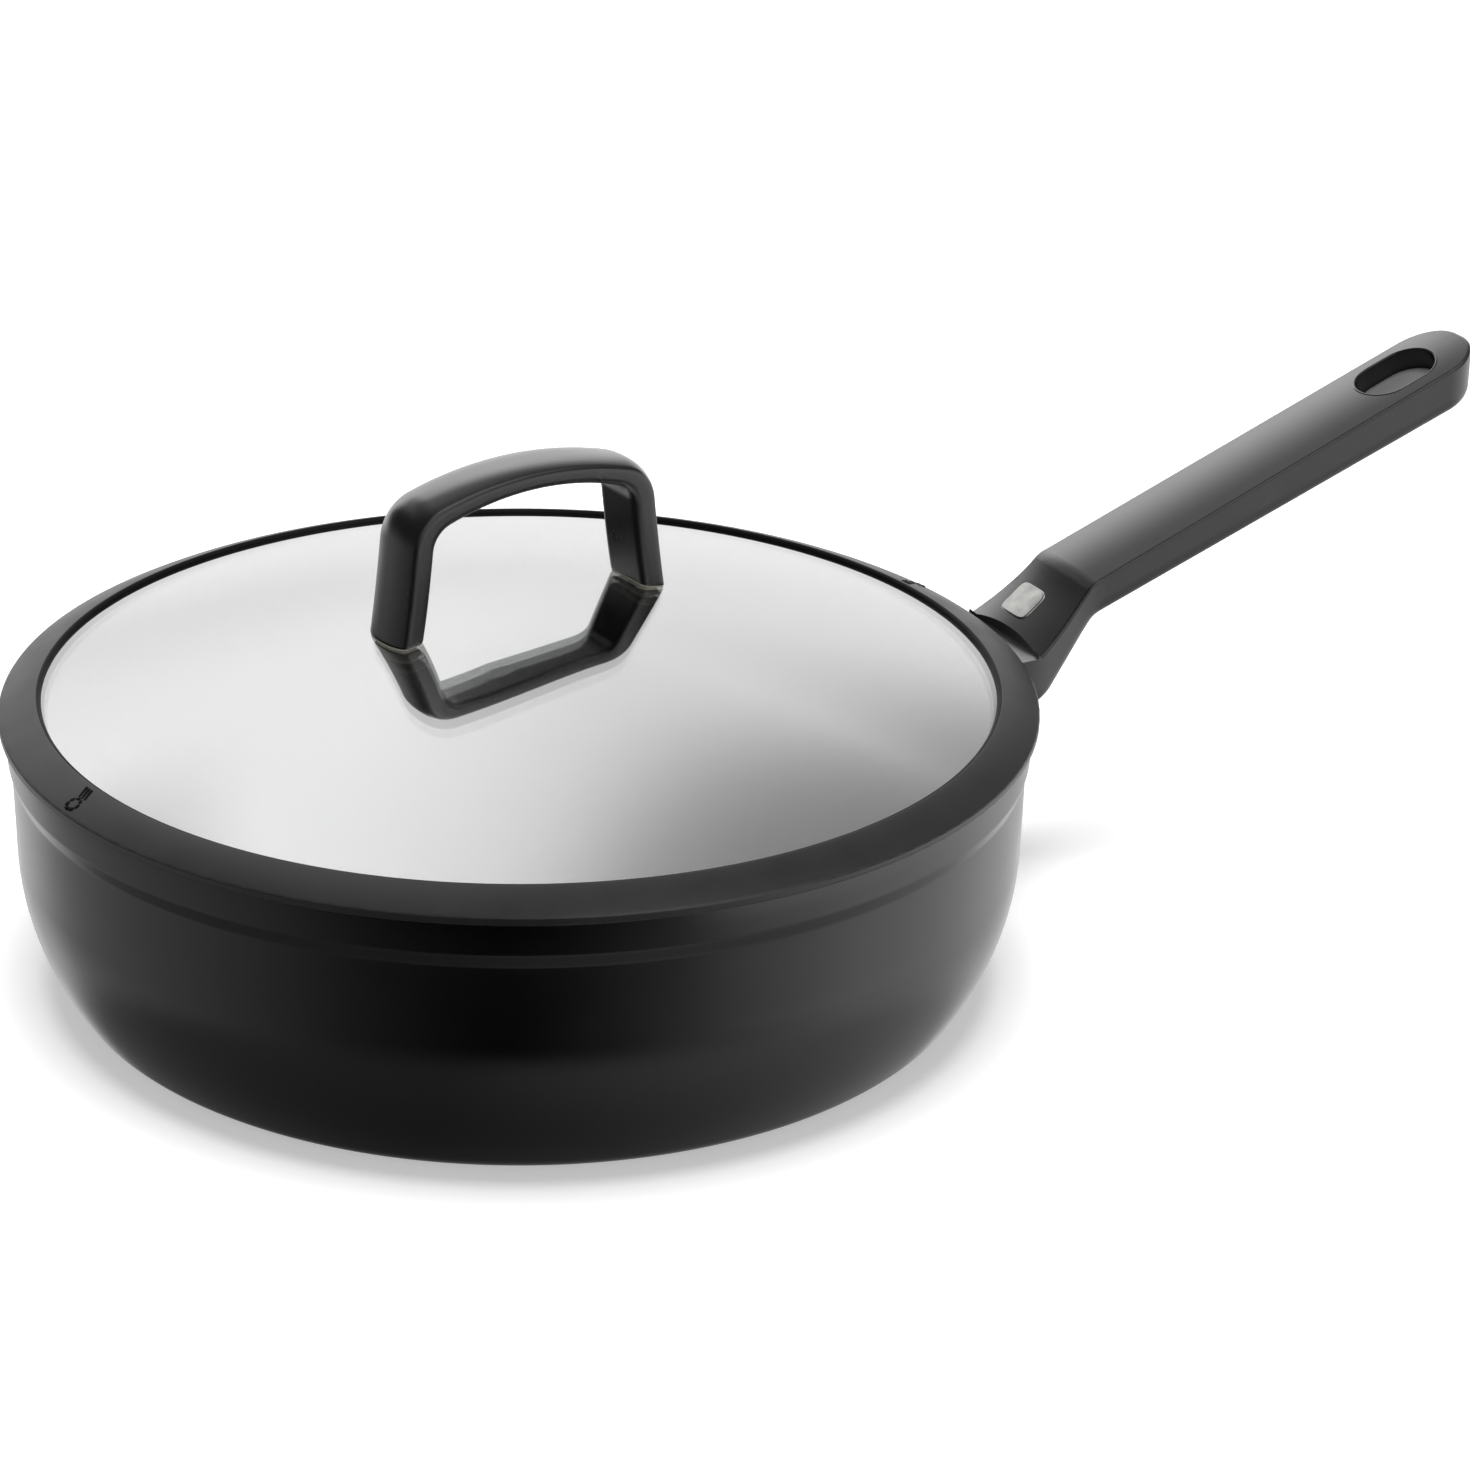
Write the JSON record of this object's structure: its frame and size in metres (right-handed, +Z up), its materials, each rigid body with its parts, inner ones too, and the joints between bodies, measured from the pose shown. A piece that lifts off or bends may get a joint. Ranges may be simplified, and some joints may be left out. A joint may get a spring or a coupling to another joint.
{
  "type": "saute pan with lid",
  "caption": "Deep round non-stick saute pan with a long straight handle and a domed glass lid that has a wide silicone rim and an arch handle.",
  "frame": {"origin": "centre of the flat underside of the pan, where it stands on the stove", "axes": "+Z up along the bowl's axis, +X out along the pan handle, +Y to the left of the handle seen from the bowl"},
  "size_m": [0.4598, 0.29, 0.1518],
  "materials": {
    "pan_coating": "satin non-stick coating on cast aluminium",
    "steel": "brushed",
    "soft_touch_black": "fine satin soft touch",
    "glass": "polished tempered glass",
    "silicone": "matte silicone rubber",
    "gasket": "pale translucent pad",
    "brass": "turned"
  },
  "bodies": {
    "pan": {"pan_body": "pan_coating", "induction_plate": "steel", "handle_bracket": "steel", "handle_grip": "soft_touch_black", "handle_washer": "steel", "handle_screw": "steel"},
    "lid": {"lid_glass": "glass", "lid_rim": "silicone", "lid_handle": "soft_touch_black", "lid_gaskets": "gasket", "lid_inserts": "brass", "lid_soft_washers": "silicone", "lid_steel_washers": "steel", "lid_screws": "steel"}
  },
  "joints": [
    {"name": "lid_lift", "type": "slide", "parent": "pan", "child": "lid", "axis": [0, 0, 1], "range_m": [0, 0.12]}
  ]
}
